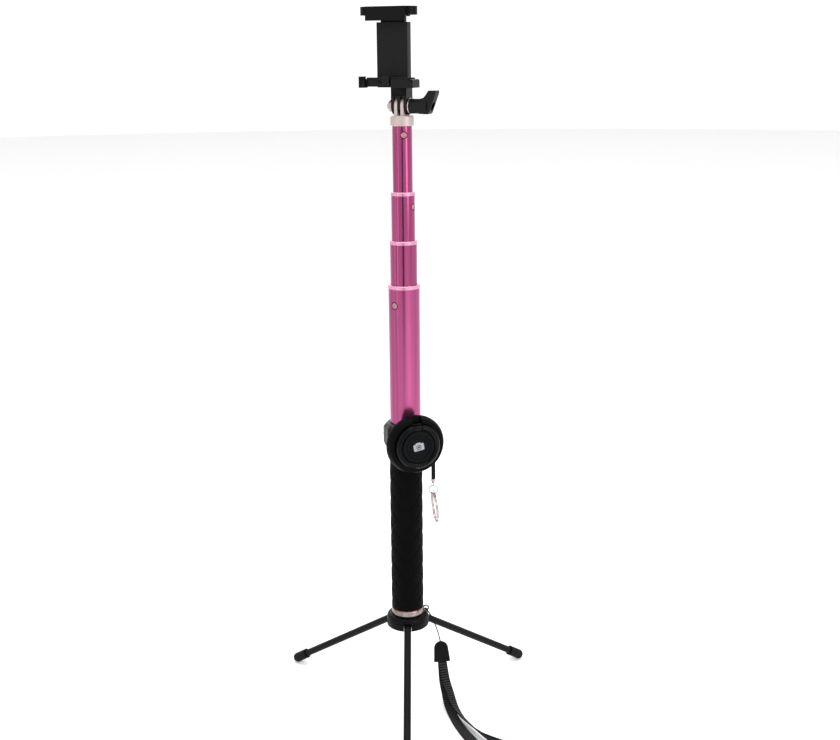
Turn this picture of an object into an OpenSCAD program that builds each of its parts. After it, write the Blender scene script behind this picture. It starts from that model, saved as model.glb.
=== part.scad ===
// Extending selfie stick on a folding three-leg base, with a sprung phone clamp
// and a round wireless shutter remote in a clip-on cup.
// Units are millimetres. The origin is on the ground under the pole's axis, +Z is up,
// and one leg points along -Y, towards the front.

/* [Pole] */
// Diameter of the fixed outer tube
outer_tube_d = 28; // [27:0.5:29]
// Diameter of the second tube
second_tube_d = 23.7; // [23.4:0.1:23.9]
// Diameter of the third tube
third_tube_d = 20.7; // [20.4:0.1:20.9]
// Diameter of the top tube
top_tube_d = 17.2; // [16.8:0.1:17.4]
// Length of the outer tube
outer_tube_len = 314.9; // [312:0.1:330]
// Length of the second tube that shows above the outer collar
second_shown = 35.9; // [30:0.1:60]
// Length of the third tube that shows above its collar
third_shown = 39.2; // [34:0.1:60]
// Length of the top tube that shows above its collar
top_shown = 56; // [44:0.1:60]
// Height of each bright collar
collar_h = 3.3; // [2:0.1:4]
// Outside diameter of the rubber grip
grip_d = 30; // [29:0.1:31]
// Length of the rubber grip
grip_len = 160; // [140:0.5:165]

/* [Tripod base] */
// Diameter of the hub
hub_d = 39.8; // [38:0.2:42]
// Height of the hub's underside above the ground
hub_lift = 76; // [74:0.5:78]
// Height of the hub
hub_h = 12; // [11:0.5:14]
// Diameter of a leg rod
leg_d = 6.8; // [5:0.1:7]
// Diameter of a rubber foot
foot_d = 9.5; // [9:0.1:10]
// Distance from the pole's axis to the middle of a foot's round tip
foot_reach = 131.5; // [118:0.5:136]

/* [Phone clamp] */
// Turn of the clamp about the pole, clockwise from above
clamp_turn = 22; // [0:1:30]
// Height of the tilt axis above the top tube's end
tilt_rise = 16.5; // [16.2:0.1:17.2]
// Gap between the jaws when the spring has closed them
jaw_gap = 52; // [50:1:54]
// Diameter of the thumb knob
knob_d = 12.6; // [12:0.2:13.4]

/* [Shutter remote] */
// Turn of the clip about the pole, to the right of the front
clip_turn = 19; // [0:1:30]
// Height of the remote's centre above the ground
remote_lift = 264.5; // [263:0.5:300]
// Outside diameter of the cup
cup_d = 54; // [52:0.1:56]
// Diameter of the round button
button_d = 30; // [26:0.5:31]
// Diameter of the key ring
key_ring_d = 30; // [24:1:32]

/* [Wrist strap] */
// Width of the webbing
webbing_w = 8.5; // [7:0.5:10]
// Thickness of the webbing
webbing_t = 1.2; // [0.8:0.1:1.4]
// Diameter of the thin strap cord
strap_cord_d = 1.2; // [0.8:0.1:1.4]

/* [Hidden] */
$fn = 64;

eps = 0.01;            // overlap that lets a cut break through a face
slip = 0.1;            // radial clearance between telescoping parts
outer_wall = 1;        // wall of the outer tube
inner_wall = 0.8;      // wall of the three inner tubes

// Tube radii from the outside in, outer tube first
tube_r = [outer_tube_d / 2, second_tube_d / 2, third_tube_d / 2, top_tube_d / 2];
bore_r = [for (i = [0 : 3]) tube_r[i] - (i == 0 ? outer_wall : inner_wall)];

// Heights of the tube ends at rest, outer tube first
hub_top = hub_lift + hub_h;
outer_top = hub_top + outer_tube_len;
second_top = outer_top + collar_h + second_shown;
third_top = second_top + collar_h + third_shown;
top_top = third_top + collar_h + top_shown;
tube_top = [outer_top, second_top, third_top, top_top];
tube_bottom = [hub_top, hub_top + 70.1, hub_top + 140.8, hub_top + 226];

// The round window near each tube's top, where a plastic boss clicks in
window_drop = [14.5, 13.6, 9.7, 7.5];      // below the tube's end
window_r = [3.1, 2.9, 2.7, 2.8];
window_turns = [[-128], [0, 180], [-30], [-80]];
guide_len = [22, 20, 17, 18];              // sleeve of each guide bush

// Hinge points of the legs
leg_turns = [-91, 149.5, 30.5];                // front, left, right
leg_hinge_r = 15;
leg_hinge_z = hub_lift + 4;
leg_run = foot_reach - leg_hinge_r;
leg_drop = leg_hinge_z - foot_d / 2;
leg_len = norm([leg_run, leg_drop]);
leg_slope = atan2(leg_drop, leg_run);
leg_pin_r = 1;
leg_slot_w = leg_d + 0.4;

// Base screw, hub to handle
screw_r = 3.175;
screw_head_r = 5;
cap_seat_z = hub_lift + 2.6;
screw_seat_z = cap_seat_z + 3.4;
plug_len = 14.5;

// Phone clamp, measured in its own turned frame from the tilt axis
tilt_z = top_top + tilt_rise;
prong_r = 7.2;
prong_t = 2.75;
prong_pitch = 5.7;
screw_hole_r = 2.5;
shank_r = 2.45;
neck_z = tilt_z + 8.2;
jaw_bottom = tilt_z + 15.3;
jaw_top = jaw_bottom + 7.2;
spine_front = 1.6;                          // phone side of the spring housing
spine_back = 9.6;
housing_top = jaw_top + jaw_gap - 5.5;
upper_jaw_z = jaw_top + jaw_gap;
jaw_left = -36.1;
jaw_right = 14.5;
jaw_front = -11;
plate_left = -19.9;
plate_right = 1.9;
spring_x = -9;
spring_y = 6.35;
spring_bottom = jaw_top + 5.4;
spring_top = jaw_top + 37;

// Clip and remote, measured outwards from the pole's axis along the clip's front
clip_gap = 0.1;                             // clip bore to the outer tube
clip_r = 17;
clip_h = 22;
clip_bottom = remote_lift - 8.5;
ear_x = 19.5;
ear_in = 14.6;
clip_screw_x = 17.6;
cup_back = 22.5;
cup_floor = 2;
cup_depth = 9;
remote_r = 20.6;
remote_back = 24.9;
shell_split = 30;
remote_front = 36.8;
button_back = 32.1;
button_front = 36;
board_back = 28.9;

// Lanyard, hanging straight down from the cup's lug
lanyard_x = 24.9;
lanyard_y = -12.8;
lanyard_top = remote_lift - 3;
lanyard_bottom = remote_lift - 37.3;
lanyard_d = 3.8;
link_ring_z = lanyard_bottom - 10.8;
link_ring_r = 4.1;
link_wire_r = 0.5;
key_ring_z = link_ring_z - 16.3;

// Routes, as points chosen by hand: x, y, z
strap_cord_route = [
    [16.8, 1.9, 89.6], [17.2, 1.1, 90.5], [17.7, -0.4, 90.9], [18.4, -1.9, 90.2],
    [19.9, -2.4, 88.1], [21.7, -1.4, 84.5], [23.4, -0.2, 80.5], [25.2, 0.4, 75.5], [27.2, 0.6, 70], [29.2, 0.4, 63.5], [31, -0.2, 55.5]
];
// The webbing's loop leaves the end clip, lies on the ground and comes back:
// a point, then the direction of the webbing's width there
webbing_route = [
    [[32.4, -7.7, 39.6], [1, 0, 0]],
    [[33.6, -12, 20.9], [1, 0, 0.05]],
    [[35.4, -16.4, 11.6], [1, 0.1, 0.05]],
    [[38, -28.8, 3.4], [0.98, 0.15, 0.1]],
    [[43.3, -51.1, 1.6], [0.93, 0.25, 0.2]],
    [[48.2, -67.4, 2], [0.9, 0.3, 0.3]],
    [[53.5, -81.9, 2.8], [0.8, 0.3, 0.5]],
    [[60, -97, 4], [0.5, 0.25, 0.8]],
    [[68, -112, 4.7], [0.15, 0.1, 1]],
    [[78, -125, 4.8], [0, 0, 1]],
    [[90, -131, 4.8], [0, 0, 1]],
    [[100, -126, 4.8], [0, 0, 1]],
    [[101.5, -115, 4.8], [0, 0, 1]],
    [[94, -105.5, 4.8], [0, 0, 1]],
    [[85, -98.5, 4.8], [0, 0, 1]],
    [[75, -90.6, 4.9], [-0.2, -0.15, 1]],
    [[66.4, -81.6, 5], [-0.4, -0.3, 0.85]],
    [[56.6, -66, 5.1], [-0.57, -0.46, 0.68]],
    [[49, -52, 5.8], [-0.65, -0.45, 0.6]],
    [[43, -38, 8.4], [-0.85, -0.3, 0.4]],
    [[39, -24.6, 14.8], [-0.95, -0.15, 0.2]],
    [[35.4, -14.8, 22.8], [-1, 0, 0.05]],
    [[32.6, -9.5, 39.4], [-1, 0, 0]]
];

// ---- helpers ----

module ring(r_out, r_in, h) {
    difference() {
        cylinder(r = r_out, h = h);
        translate([0, 0, -1]) cylinder(r = r_in, h = h + 2);
    }
}

module torus(r_mid, r_wire) {
    rotate_extrude() translate([r_mid, 0]) circle(r = r_wire);
}

// A box from its lowest corner to its highest
module block(low, high) {
    translate(low) cube(high - low);
}

// Pole-frame to clamp-frame, and pole-frame to clip-frame
module in_clamp() { rotate([0, 0, -clamp_turn]) children(); }
module in_clip() { rotate([0, 0, clip_turn]) children(); }

// A cylinder along the clamp's own x axis, centred on the tilt axis
module along_x(r, x0, x1) {
    translate([x0, 0, tilt_z]) rotate([0, 90, 0]) cylinder(r = r, h = x1 - x0);
}

// Children drawn upwards from z = 0 point forwards from the pole, `out` away from its axis
module facing_front(out) {
    translate([0, -out, remote_lift]) rotate([90, 0, 0]) children();
}

// Children drawn at a leg's hinge point with the leg along +X
module at_leg(turn) {
    rotate([0, 0, turn]) translate([leg_hinge_r, 0, leg_hinge_z]) children();
}

module along_leg(turn) {
    at_leg(turn) rotate([0, 90 + leg_slope, 0]) children();
}

function unit(v) = v / norm(v);
function heading(route, i) =
    unit(route[min(i + 1, len(route) - 1)] - route[max(i - 1, 0)]);
// Catmull-Rom point between b and c
function blend(a, b, c, d, t) =
    0.5 * (2 * b + (c - a) * t + (2 * a - 5 * b + 4 * c - d) * t * t
    + (3 * b - a - 3 * c + d) * t * t * t);
function smooth(route, steps) = [
    for (i = [0 : len(route) - 2], s = [0 : steps - 1])
        blend(route[max(i - 1, 0)], route[i], route[i + 1],
            route[min(i + 2, len(route) - 1)], s / steps),
    route[len(route) - 1]
];

// Closed skin through rings of equal size
module skin(rings) {
    n = len(rings[0]);
    last = len(rings) - 1;
    points = [for (ring_points = rings, p = ring_points) p];
    sides = [for (i = [0 : last - 1], j = [0 : n - 1])
        [i * n + j, i * n + (j + 1) % n, (i + 1) * n + (j + 1) % n, (i + 1) * n + j]];
    first_cap = [for (j = [n - 1 : -1 : 0]) j];
    last_cap = [for (j = [0 : n - 1]) last * n + j];
    polyhedron(points, concat(sides, [first_cap, last_cap]), convexity = 6);
}

// Round cord along a route; `side` is any direction the route never runs along
module cord(route, r, side, corners = 8) {
    skin([for (i = [0 : len(route) - 1])
        let (t = heading(route, i), u = unit(cross(t, side)), v = cross(t, u))
        [for (k = [0 : corners - 1])
            route[i] + r * (cos(k * 360 / corners) * u + sin(k * 360 / corners) * v)]
    ]);
}

// Flat webbing along a route, with its width direction at each point
module ribbon(route, widths, w, t) {
    skin([for (i = [0 : len(route) - 1])
        let (d = heading(route, i), across = unit(widths[i] - (widths[i] * d) * d),
            up = cross(d, across))
        [for (c = [[-1, -1], [1, -1], [1, 1], [-1, 1]])
            route[i] + across * c[0] * w / 2 + up * c[1] * t / 2]
    ]);
}

// ---- tripod base ----

module hub_outline() {
    r = hub_d / 2;
    edge = 4.2;
    difference() {
        union() {
            polygon([[0, 0], [r - 0.6, 0], [r, 0.6], [r, hub_h - edge],
                [r - edge, hub_h - edge], [r - edge, hub_h], [0, hub_h]]);
            translate([r - edge, hub_h - edge]) circle(r = edge);
        }
        translate([r - 0.5, 6.3]) square([1, 0.7]);
    }
}

module tripod_hub() {
    color("#1b1b1d") difference() {
        translate([0, 0, hub_lift]) rotate_extrude() hub_outline();
        translate([0, 0, hub_lift - 1]) cylinder(r = 10.2, h = cap_seat_z - hub_lift + 1);
        translate([0, 0, cap_seat_z - eps])
            cylinder(r = screw_head_r + 0.2, h = screw_seat_z - cap_seat_z + eps);
        cylinder(r = screw_r + 0.03, h = hub_top + 1);
        for (turn = leg_turns) {
            rotate([0, 0, turn])
                block([11, -leg_slot_w / 2, hub_lift - 1], [hub_d, leg_slot_w / 2, leg_hinge_z + 4.1]);
            at_leg(turn) rotate([90, 0, 0]) cylinder(r = leg_pin_r, h = 13, center = true);
        }
    }
}

module hub_base_cap() {
    color("#222224") translate([0, 0, cap_seat_z - 2.4]) difference() {
        cylinder(r = 10, h = 2.4);
        translate([0, 0, -eps]) cylinder(r = 7, h = 0.6);
    }
}

module hub_screw() {
    color("#b9bbc0") difference() {
        union() {
            translate([0, 0, screw_seat_z - 3.2]) cylinder(r = screw_head_r, h = 3.2);
            translate([0, 0, screw_seat_z - eps]) cylinder(r = screw_r, h = 18);
        }
        translate([0, 0, screw_seat_z - 4]) cylinder(r = 2.4, h = 2.8, $fn = 6);
    }
}

module leg_pins() {
    color("#d0d2d6") for (turn = leg_turns) {
        at_leg(turn) rotate([90, 0, 0]) cylinder(r = leg_pin_r, h = 12.8, center = true);
    }
}

module leg_rod(turn) {
    color("#202022") difference() {
        union() {
            along_leg(turn) cylinder(r = leg_d / 2, h = leg_len - 2);
            at_leg(turn) sphere(r = leg_d / 2);
        }
        at_leg(turn) rotate([90, 0, 0]) cylinder(r = leg_pin_r + 0.05, h = leg_d + 2, center = true);
    }
}

module leg_foot(turn) {
    cap_len = 14.2;
    color("#161617") along_leg(turn) translate([0, 0, leg_len]) difference() {
        union() {
            translate([0, 0, -cap_len]) cylinder(r = foot_d / 2, h = cap_len);
            sphere(r = foot_d / 2);
        }
        translate([0, 0, -cap_len - 1]) cylinder(r = leg_d / 2, h = cap_len - 1);
    }
}

// ---- pole ----

// A tube of the pole with its boss windows; i counts from the outer tube
module pole_tube(i) {
    difference() {
        translate([0, 0, tube_bottom[i]])
            ring(tube_r[i], bore_r[i], tube_top[i] - tube_bottom[i]);
        for (turn = window_turns[i]) {
            rotate([0, 0, turn]) translate([0, 0, tube_top[i] - window_drop[i]])
                rotate([0, 90, 0]) cylinder(r = window_r[i], h = 30);
        }
    }
}

// The plastic bosses that click into a tube's windows
module window_boss(i) {
    for (turn = window_turns[i]) {
        rotate([0, 0, turn])
            translate([bore_r[i] - 0.6, 0, tube_top[i] - window_drop[i]])
            rotate([0, 90, 0]) cylinder(r = window_r[i] - 0.05, h = tube_r[i] - bore_r[i] + 0.3);
    }
}

module collar(i) {
    r_out = tube_r[i] + 0.4;
    r_in = tube_r[i + 1] + 0.2;
    color("#f1c3d6") translate([0, 0, tube_top[i]]) rotate_extrude()
        polygon([[r_in, 0], [r_out, 0], [r_out, collar_h - 0.7],
            [r_out - 0.7, collar_h], [r_in, collar_h]]);
}

module guide_bush(i) {
    r_in = tube_r[i + 1] + slip;
    color("#c9ccd2") difference() {
        union() {
            translate([0, 0, tube_top[i] - guide_len[i]])
                cylinder(r = bore_r[i], h = guide_len[i]);
            window_boss(i);
        }
        translate([0, 0, tube_top[i] - guide_len[i] - 1]) cylinder(r = r_in, h = guide_len[i] + 2);
    }
}

// Plug in the bottom of an inner tube, with the stud that the expander turns on
module lock_cone(i) {
    stud_r = tube_r[i] * 0.42;
    color("#e8e6df") translate([0, 0, tube_bottom[i]]) union() {
        cylinder(r = bore_r[i], h = 12);
        translate([0, 0, -1]) cylinder(r = tube_r[i], h = 1 + eps);
        translate([0, 0, -15]) cylinder(r = stud_r, h = 14 + eps);
        translate([0, 0, -17]) cylinder(r = stud_r + 2, h = 2 + eps);
    }
}

// Split sleeve that the stud spreads against the bore of the tube outside it
module lock_bush(i) {
    stud_r = tube_r[i] * 0.42;
    sleeve_h = 13.2;
    color("#2c2c30") translate([0, 0, tube_bottom[i] - 14.6]) difference() {
        cylinder(r = bore_r[i - 1] - slip, h = sleeve_h);
        translate([0, 0, -1]) cylinder(r = stud_r + slip, h = sleeve_h + 2);
        block([0, -0.8, -1], [20, 0.8, sleeve_h + 1]);
        for (h = [3.2, 8.6]) {
            translate([0, 0, h]) ring(20, bore_r[i - 1] - 0.6, 1.4);
        }
    }
}

module outer_tube() { color("#cf5f9b") pole_tube(0); }
module second_tube() { color("#cf5f9b") pole_tube(1); }
module third_tube() { color("#cf5f9b") pole_tube(2); }
module top_tube() { color("#cf5f9b") pole_tube(3); }

module grip() {
    grip_z = hub_top + 6.5;
    color("#151517") translate([0, 0, grip_z]) rotate_extrude()
        polygon([[tube_r[0], 0], [grip_d / 2 - 0.4, 0], [grip_d / 2, 0.6],
            [grip_d / 2, grip_len - 0.6], [grip_d / 2 - 0.4, grip_len], [tube_r[0], grip_len]]);
}

module handle_end_plug() {
    color("#26262a") translate([0, 0, hub_top]) ring(bore_r[0], screw_r + 0.03, plug_len);
}

module strap_ring() {
    band_r = tube_r[0] + 1.2;
    color("#d8d4d2") union() {
        translate([0, 0, hub_top + 0.6]) rotate_extrude()
            polygon([[tube_r[0], 0], [band_r - 0.5, 0], [band_r, 0.7], [band_r, 4.6],
                [band_r - 0.5, 5.3], [tube_r[0], 5.3]]);
        translate([tube_r[0] + 3.4, 0, hub_top + 3.5]) rotate([90, 0, 0]) torus(2.4, 0.8);
    }
}

// ---- head ----

module prong(x, rise) {
    translate([x - prong_t / 2, 0, tilt_z]) rotate([90, 0, 90]) linear_extrude(prong_t)
        difference() {
            union() {
                circle(r = prong_r);
                translate([-prong_r, min(0, rise)]) square([2 * prong_r, abs(rise)]);
            }
            circle(r = screw_hole_r);
        }
}

module head_adapter() {
    cap_r = 10.2;
    cap_top = tilt_z - 7.8;
    color("#e7dfe0") union() {
        difference() {
            union() {
                translate([0, 0, top_top]) rotate_extrude()
                    polygon([[0, 0], [cap_r - 0.6, 0], [cap_r, 0.6], [cap_r, cap_top - top_top - 0.8],
                        [cap_r - 0.8, cap_top - top_top], [0, cap_top - top_top]]);
                translate([0, 0, top_top - guide_len[3]]) cylinder(r = bore_r[3], h = guide_len[3] + eps);
                window_boss(3);
            }
            translate([0, 0, top_top - guide_len[3] - 1]) cylinder(r = 5.4, h = guide_len[3] - 2);
        }
        in_clamp() for (x = [-1, 1]) {
            prong(x * prong_pitch / 2, cap_top - tilt_z - 0.2);
        }
    }
}

module clamp_body() {
    color("#1d1d1f") in_clamp() difference() {
        union() {
            for (i = [-1 : 1]) {
                prong(i * prong_pitch, neck_z - tilt_z + 0.2);
            }
            block([-7.1, -7, neck_z], [7.1, 7, jaw_bottom + 0.2]);
            // near block, then the recessed arm of the lower jaw
            block([-5.4, jaw_front, jaw_bottom], [jaw_right, 5, jaw_top - 2]);
            block([-5.4, jaw_front, jaw_top - 2.2], [jaw_right - 2, 5, jaw_top]);
            translate([jaw_right - 2, 5, jaw_top - 2]) rotate([90, 0, 0]) cylinder(r = 2, h = 5 - jaw_front);
            block([jaw_left + 3, -6, jaw_bottom + 0.8], [-5.3, 5, jaw_top]);
            // lips that hold the phone's front face
            translate([jaw_left + 3.2, -8, jaw_bottom]) cylinder(r = 3.2, h = 9.4);
            translate([jaw_left + 3.2, -4.4, jaw_bottom]) cylinder(r = 3.2, h = 7.2);
            block([-14, -10.6, jaw_bottom + 2], [-7.3, -7.9, jaw_top + 2.5]);
            block([-14, -8.1, jaw_bottom + 2], [-7.3, -5.9, jaw_bottom + 5.4]);
            // spring housing
            block([-23, spine_front, jaw_bottom], [5, spine_back, housing_top]);
        }
        block([-20.2, spine_front + 1.6, jaw_top + 1.5], [2.2, spine_back + 1, housing_top + 1]);
        block([-22.4, spine_back - 1.2, jaw_top + 1.6], [4.4, spine_back + 1, housing_top - 0.6]);
        for (x = [-21.3, 3.3], z = [jaw_top + 6, housing_top - 5]) {
            translate([x, spine_back + 1, z]) rotate([90, 0, 0]) cylinder(r = 0.8, h = 6);
        }
    }
}

module lower_jaw_pad() {
    color("#3a3a3d") in_clamp() block([-30, -5.6, jaw_top], [12, 1.4, jaw_top + 1.2]);
}

module upper_jaw() {
    plate_back = spine_back - 1.5;
    end_r = (plate_back + 9) / 2;
    color("#1d1d1f") in_clamp() difference() {
        union() {
            block([plate_left, spine_front + 1.9, jaw_top + 3.4],
                [plate_right, plate_back, upper_jaw_z + 1]);
            block([jaw_left + end_r, -9, upper_jaw_z], [jaw_right - end_r, plate_back, upper_jaw_z + 7]);
            for (x = [jaw_left + end_r, jaw_right - end_r]) {
                translate([x, plate_back - end_r, upper_jaw_z]) cylinder(r = end_r, h = 7);
            }
            block([-28, -11, upper_jaw_z - 4.5], [8, -8.9, upper_jaw_z + 7]);
            translate([spring_x, plate_back, spring_top + 0.8]) rotate([90, 0, 0]) cylinder(r = 0.9, h = 4);
        }
        block([spring_x - 2.6, spine_front + 2.7, jaw_top], [spring_x + 2.6, spine_back, spring_top + 0.1]);
    }
}

module upper_jaw_pad() {
    color("#3a3a3d") in_clamp() block([-28, -8.8, upper_jaw_z - 1.2], [8, 1.4, upper_jaw_z]);
}

module jaw_spring() {
    turns = 15;
    per_turn = 10;
    last = turns * per_turn;
    route = [for (i = [0 : last])
        [spring_x + 1.5 * cos(i * 360 / per_turn), spring_y + 1.5 * sin(i * 360 / per_turn),
            spring_bottom + (spring_top - spring_bottom - 1) * i / last + 0.5]];
    color("#a9abb0") in_clamp() cord(route, 0.3, [0, 0, 1], 6);
}

module housing_cover() {
    color("#202022") in_clamp() difference() {
        union() {
            block([-22.3, spine_back - 1.2, jaw_top + 1.7], [4.3, spine_back, housing_top - 0.7]);
            translate([spring_x, spine_back - 1, spring_bottom - 1.6]) rotate([90, 0, 0])
                cylinder(r = 0.9, h = 3.4);
        }
        for (x = [-21.3, 3.3], z = [jaw_top + 6, housing_top - 5]) {
            translate([x, spine_back + 1, z]) rotate([90, 0, 0]) cylinder(r = 0.8, h = 4);
        }
    }
}

module cover_screws() {
    color("#8d8f94") in_clamp() for (x = [-21.3, 3.3], z = [jaw_top + 6, housing_top - 5]) {
        translate([x, spine_back, z]) rotate([90, 0, 0]) union() {
            translate([0, 0, -0.7]) cylinder(r = 1.4, h = 0.7);
            cylinder(r = 0.8, h = 4.6);
        }
    }
}

module cap_nut() {
    nut_x = -prong_pitch - prong_t / 2;
    color("#d6cfcf") in_clamp() difference() {
        union() {
            translate([nut_x - 3.9, 0, tilt_z]) rotate([0, 90, 0]) cylinder(r = 4.9, h = 3.9, $fn = 6);
            intersection() {
                translate([nut_x - 2.2, 0, tilt_z]) sphere(r = 4.2);
                along_x(6, nut_x - 8, nut_x - 3.8);
            }
        }
        along_x(screw_hole_r, nut_x - 5, nut_x + 1);
    }
}

module thumb_screw() {
    color("#b9bbc0") in_clamp() along_x(shank_r, -11.8, 14);
}

module thumb_washer() {
    color("#d6cfcf") in_clamp() difference() {
        along_x(6.9, 7.2, 8.2);
        along_x(shank_r + 0.05, 7, 9);
    }
}

module thumb_knob() {
    wing_t = 9;
    r = knob_d / 2;
    color("#1b1b1e") in_clamp() difference() {
        union() {
            along_x(r, 8.2, 24);
            translate([0, wing_t / 2, tilt_z]) rotate([90, 0, 0]) linear_extrude(wing_t)
                polygon([[17, 3], [18.6, r], [21.4, r + 0.9], [23.6, r + 3.4], [25.8, 13],
                    [32.4, 13], [32.4, 10.8], [26.4, -r + 0.8], [25, -r - 0.3], [17, -r]]);
        }
        along_x(shank_r, 8, 14);
        along_x(3.6, 22.5, 40);
    }
}

// ---- clip and remote ----

// Half of the clip ring and one pair of ears; `front` is -1 for the front half, 1 for the back
module clip_half(front) {
    inner_r = tube_r[0] + clip_gap;
    near = 0.2;
    ear_depth = 6;
    difference() {
        union() {
            cylinder(r = clip_r, h = clip_h);
            for (side = [-1, 1]) {
                translate([side * (ear_x + ear_in) / 2, 0, clip_h / 2]) rotate([90, 0, 0])
                    linear_extrude(2 * ear_depth, center = true)
                    polygon([[-side * 4, -11], [side * 1, -11], [side * 2.45, -7],
                        [side * 2.45, 7.5], [-side * 0.8, 11], [-side * 4, 11]]);
            }
        }
        translate([0, 0, -1]) cylinder(r = inner_r, h = clip_h + 2);
        translate([-40, front < 0 ? -near : near - 40, -1]) cube([80, 40, clip_h + 2]);
        for (side = [-1, 1]) {
            translate([side * clip_screw_x, 0, clip_h / 2]) rotate([90, 0, 0])
                cylinder(r = 1, h = 30, center = true);
        }
    }
}

module clip_front() {
    arm_w = 20;
    color("#3a383b") in_clip() difference() {
        union() {
            translate([0, 0, clip_bottom]) clip_half(-1);
            block([-arm_w / 2, -cup_back, clip_bottom + 2],
                [arm_w / 2, -clip_r + 3, clip_bottom + clip_h - 2]);
        }
        translate([0, 0, clip_bottom - 1]) cylinder(r = tube_r[0] + clip_gap, h = clip_h + 2);
    }
}

module clip_back() {
    color("#3a383b") in_clip() translate([0, 0, clip_bottom]) clip_half(1);
}

module clip_screws() {
    color("#8d8f94") in_clip() for (side = [-1, 1]) {
        translate([side * clip_screw_x, 6, clip_bottom + clip_h / 2]) rotate([90, 0, 0]) difference() {
            union() {
                translate([0, 0, -1.4]) cylinder(r = 1.8, h = 1.4);
                cylinder(r = 0.95, h = 11.4);
            }
            translate([0, 0, -1.5]) cylinder(r = 0.9, h = 0.9, $fn = 6);
        }
    }
}

module remote_cup() {
    r = cup_d / 2;
    color("#131315") union() {
        in_clip() difference() {
            facing_front(cup_back) difference() {
                rotate_extrude() polygon([[0, 0], [r - 1.8, 0], [r, 1.8], [r, 4.6],
                    [r - 1.8, cup_depth - 0.6], [r - 2.6, cup_depth], [remote_r + 0.3, cup_depth],
                    [remote_r + 0.3, cup_floor], [0, cup_floor]]);
            }
            // thumb notch at the top, and a hole to push the remote out
            block([-4.5, -cup_back - cup_depth - 1, remote_lift + remote_r - 2],
                [4.5, -cup_back - 5, remote_lift + r + 1]);
            facing_front(cup_back - 1) cylinder(r = 4, h = cup_floor + 2);
        }
        // lug that the lanyard passes through, behind the rim on the right
        translate([lanyard_x, lanyard_y, lanyard_top - 1]) ring(3.4, lanyard_d / 2, 3);
    }
}

module remote_rear_shell() {
    color("#1a1a1c") in_clip() facing_front(remote_back) difference() {
        rotate_extrude() polygon([[0, 0], [remote_r - 1.5, 0], [remote_r, 1.5],
            [remote_r, shell_split - remote_back], [0, shell_split - remote_back]]);
        translate([0, 0, 0.8]) cylinder(r = remote_r - 1.4, h = 10);
        translate([0, 0, -1]) cylinder(r = 11.5, h = 3);
    }
}

module remote_front_shell() {
    deep = remote_front - shell_split;
    lip_r = button_d / 2 + 0.3;
    color("#1a1a1c") in_clip() facing_front(shell_split) difference() {
        rotate_extrude() difference() {
            union() {
                square([remote_r - 3, deep]);
                square([remote_r, deep - 3]);
                translate([remote_r - 3, deep - 3]) circle(r = 3);
            }
            translate([0, -1]) square([remote_r - 1.4, 3]);
            polygon([[0, -1], [lip_r, -1], [lip_r, deep - 1.6], [lip_r + 1.6, deep + eps], [0, deep + 1]]);
        }
    }
}

module remote_button() {
    r = button_d / 2;
    rise = button_front - button_back;
    color("#141416") in_clip() facing_front(button_back) difference() {
        rotate_extrude() polygon([[0, 0], [13, 0], [13, -1], [r + 1.6, -1], [r + 1.6, -0.3],
            [r, -0.3], [r, rise - 0.8], [r - 0.8, rise], [0, rise]]);
        translate([0, 0, rise - 0.6]) ring(11.6, 10.6, 2);
        translate([0, 0, rise - 0.5]) ring(8.3, 7.5, 2);
    }
}

module circuit_board() {
    color("#1f6b45") in_clip() facing_front(board_back) cylinder(r = remote_r - 1.6, h = 1);
}

module tact_switch() {
    color("#c9ccd2") in_clip() facing_front(board_back + 1) union() {
        translate([-2.6, -2.6, 0]) cube([5.2, 5.2, 1.1]);
        cylinder(r = 1.5, h = 1.5);
    }
}

module coin_cell() {
    color("#c3c6cb") in_clip() facing_front(remote_back + 0.85) cylinder(r = 10, h = 2.7);
}

module battery_clip() {
    color("#c8b273") in_clip() facing_front(board_back - 0.45) union() {
        translate([-2.5, -12.5, 0]) cube([5, 25, 0.45]);
        for (side = [-1, 1]) {
            translate([-2.5, side * 12.2 - 0.3, -1.6]) cube([5, 0.6, 1.7]);
        }
    }
}

module battery_door() {
    color("#1f1f22") in_clip() facing_front(remote_back) difference() {
        cylinder(r = 11.3, h = 0.75);
        translate([-6, -0.9, -1]) cube([12, 1.8, 1.4]);
    }
}

// ---- lanyard and key ring ----

lanyard_route = [for (i = [0 : 5])
    [lanyard_x, lanyard_y, lanyard_top + (lanyard_bottom - lanyard_top) * i / 5]];

module lanyard_cord() {
    color("#131314") cord(lanyard_route, lanyard_d / 2, [1, 0, 0]);
}

module lanyard_crimp() {
    color("#cfc8c8") union() {
        translate([lanyard_x, lanyard_y, lanyard_bottom - 4.6]) rotate_extrude()
            polygon([[0, 0], [1.2, 0], [1.9, 2.4], [2, 4.6], [0, 4.6]]);
        translate([lanyard_x, lanyard_y, lanyard_bottom - 6.1]) rotate([0, 90, 0]) torus(1.6, 0.4);
    }
}

module link_ring() {
    color("#b9b4b4") translate([lanyard_x, lanyard_y, link_ring_z])
        rotate([90, 0, 0]) torus(link_ring_r, link_wire_r);
}

// Split ring: two turns of flat wire lying side by side
module key_ring() {
    r = key_ring_d / 2;
    lean = 5;
    yaw = 8;
    hang_x = lanyard_x + (r - 0.9) * sin(lean);
    color("#cfc8c8") translate([hang_x, lanyard_y, key_ring_z]) rotate([0, 90 - lean, yaw])
        union() {
            for (z = [-1.3, 0.05]) {
                translate([0, 0, z]) ring(r, r - 1.8, 1.25);
            }
            translate([r - 1.5, -1, -1]) cube([1.2, 2, 2]);
        }
}

// ---- wrist strap ----

module strap_cord() {
    color("#141415") cord(smooth(strap_cord_route, 2), strap_cord_d / 2, [0, 1, 0.2]);
}

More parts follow.
